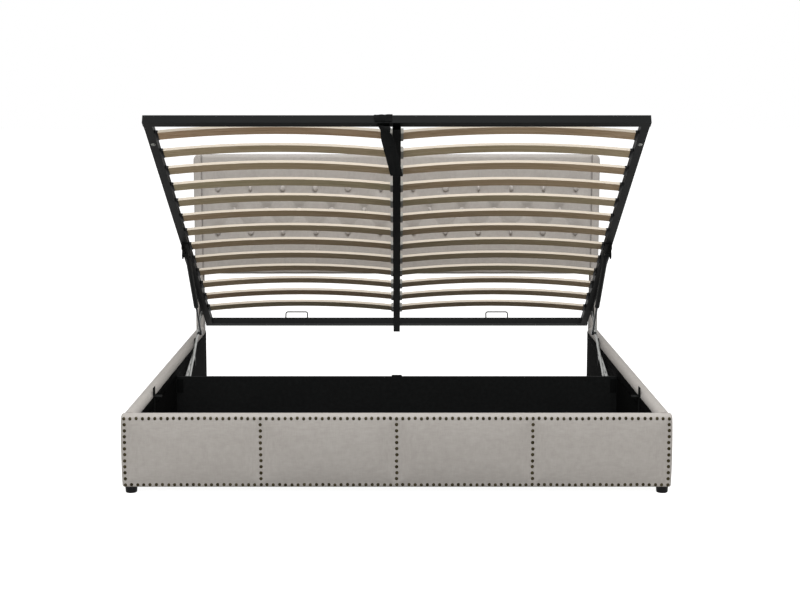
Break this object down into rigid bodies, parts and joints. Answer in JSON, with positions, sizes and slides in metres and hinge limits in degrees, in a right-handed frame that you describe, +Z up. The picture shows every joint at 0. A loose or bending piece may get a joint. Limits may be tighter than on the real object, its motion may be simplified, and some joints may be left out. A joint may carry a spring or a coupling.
{
  "type": "ottoman storage bed",
  "caption": "upholstered king-size bed with a tufted headboard and a sprung-slat deck that gas struts lift over a storage box",
  "frame": {"origin": "on the floor, midway between the sides and midway between the foot face and the headboard back", "axes": "+X to the right as seen from the foot, +Y from foot to head, +Z up"},
  "size_m": [2.03, 2.2, 1.3911],
  "materials": {
    "upholstery_fabric": "woven linen-look upholstery",
    "core_timber": "sawn softwood and plywood core",
    "lining_cloth": "black non-woven lining",
    "panel_board": "black faced board",
    "glide_plastic": "moulded black plastic",
    "buffer_rubber": "moulded rubber",
    "zinc_steel": "zinc plated",
    "black_steel": "satin black powder coat",
    "chrome_rod": "ground and plated",
    "black_plastic": "moulded black plastic",
    "slat_plywood": "bent laminated beech",
    "strap_webbing": "woven black webbing"
  },
  "bodies": {
    "base": {"footboard_cover": "upholstery_fabric", "footboard_core": "core_timber", "footboard_lining": "lining_cloth", "left_rail_cover": "upholstery_fabric", "left_rail_core": "core_timber", "left_rail_lining": "lining_cloth", "right_rail_cover": "upholstery_fabric", "right_rail_core": "core_timber", "right_rail_lining": "lining_cloth", "headboard_pad": "upholstery_fabric", "headboard_board": "lining_cloth", "headboard_buttons": "upholstery_fabric", "headboard_left_post": "upholstery_fabric", "headboard_right_post": "upholstery_fabric", "glide_feet": "glide_plastic", "divider_board": "panel_board", "divider_brackets": "zinc_steel", "left_floor_panel": "panel_board", "right_floor_panel": "panel_board", "floor_battens": "panel_board", "centre_runner": "panel_board", "rest_pad": "buffer_rubber", "seat_brackets": "zinc_steel", "guide_brackets": "zinc_steel", "left_base_plate": "zinc_steel", "right_base_plate": "zinc_steel"},
    "front_link_left": {"left_front_link": "zinc_steel"},
    "deck": {"foot_tube": "black_steel", "head_tube": "black_steel", "left_side_tube": "black_steel", "right_side_tube": "black_steel", "centre_beam": "black_steel", "left_top_plate": "black_steel", "right_top_plate": "black_steel", "tube_end_caps": "black_plastic", "side_slat_holders": "black_plastic", "centre_slat_holders": "black_plastic", "pull_strap": "strap_webbing", "mattress_retainers": "black_steel", "slat_row_01": "slat_plywood", "slat_row_02": "slat_plywood", "slat_row_03": "slat_plywood", "slat_row_04": "slat_plywood", "slat_row_05": "slat_plywood", "slat_row_06": "slat_plywood", "slat_row_07": "slat_plywood", "slat_row_08": "slat_plywood", "slat_row_09": "slat_plywood", "slat_row_10": "slat_plywood", "slat_row_11": "slat_plywood", "slat_row_12": "slat_plywood", "slat_row_13": "slat_plywood"},
    "front_link_right": {"right_front_link": "zinc_steel"},
    "rear_link_left": {"left_rear_link": "black_steel"},
    "rear_link_right": {"right_rear_link": "black_steel"},
    "cylinder_left": {"left_strut_cylinder": "black_steel"},
    "cylinder_right": {"right_strut_cylinder": "black_steel"},
    "rod_left": {"left_strut_rod": "chrome_rod"},
    "rod_right": {"right_strut_rod": "chrome_rod"}
  },
  "joints": [
    {"name": "lift", "type": "hinge", "parent": "base", "child": "front_link_left", "pos_m": [-0.946, 0.2428, 0.18], "axis": [-1, 0, 0], "range_deg": [0, 23.44], "stiffness_Nm_per_rad": 680, "springref_deg": -57.3},
    {"name": "deck_tilt", "type": "hinge", "parent": "front_link_left", "child": "deck", "pos_m": [-0.946, 0.68894, 0.41376], "axis": [1, 0, 0], "range_deg": [0, 53.44]},
    {"name": "front_link_right_swing", "type": "hinge", "parent": "base", "child": "front_link_right", "pos_m": [0.946, 0.2428, 0.18], "axis": [-1, 0, 0], "range_deg": [0, 23.44]},
    {"name": "rear_link_left_swing", "type": "hinge", "parent": "base", "child": "rear_link_left", "pos_m": [-0.956, 0.4865, 0.235], "axis": [-1, 0, 0], "range_deg": [0, 32.17]},
    {"name": "rear_link_right_swing", "type": "hinge", "parent": "base", "child": "rear_link_right", "pos_m": [0.956, 0.4865, 0.235], "axis": [-1, 0, 0], "range_deg": [0, 32.17]},
    {"name": "cylinder_left_swing", "type": "hinge", "parent": "deck", "child": "cylinder_left", "pos_m": [-0.931, 0.14327, 0.75882], "axis": [1, 0, 0], "range_deg": [0, 10.94]},
    {"name": "cylinder_right_swing", "type": "hinge", "parent": "deck", "child": "cylinder_right", "pos_m": [0.931, 0.14327, 0.75882], "axis": [1, 0, 0], "range_deg": [0, 10.94]},
    {"name": "rod_left_slide", "type": "slide", "parent": "cylinder_left", "child": "rod_left", "axis": [0, -0.7042, 0.71], "range_m": [0, 0.089]},
    {"name": "rod_right_slide", "type": "slide", "parent": "cylinder_right", "child": "rod_right", "axis": [0, -0.7042, 0.71], "range_m": [0, 0.089]}
  ],
  "couplings": [
    {"joint": "deck_tilt", "follows": "lift", "ratio": 2.2799},
    {"joint": "front_link_right_swing", "follows": "lift", "ratio": 1},
    {"joint": "rear_link_left_swing", "follows": "lift", "ratio": 1.3724},
    {"joint": "rear_link_right_swing", "follows": "lift", "ratio": 1.3724},
    {"joint": "cylinder_left_swing", "follows": "lift", "ratio": 0.46681},
    {"joint": "cylinder_right_swing", "follows": "lift", "ratio": 0.46681},
    {"joint": "rod_left_slide", "follows": "lift", "m_per_rad": 0.21753},
    {"joint": "rod_right_slide", "follows": "lift", "m_per_rad": 0.21753}
  ]
}
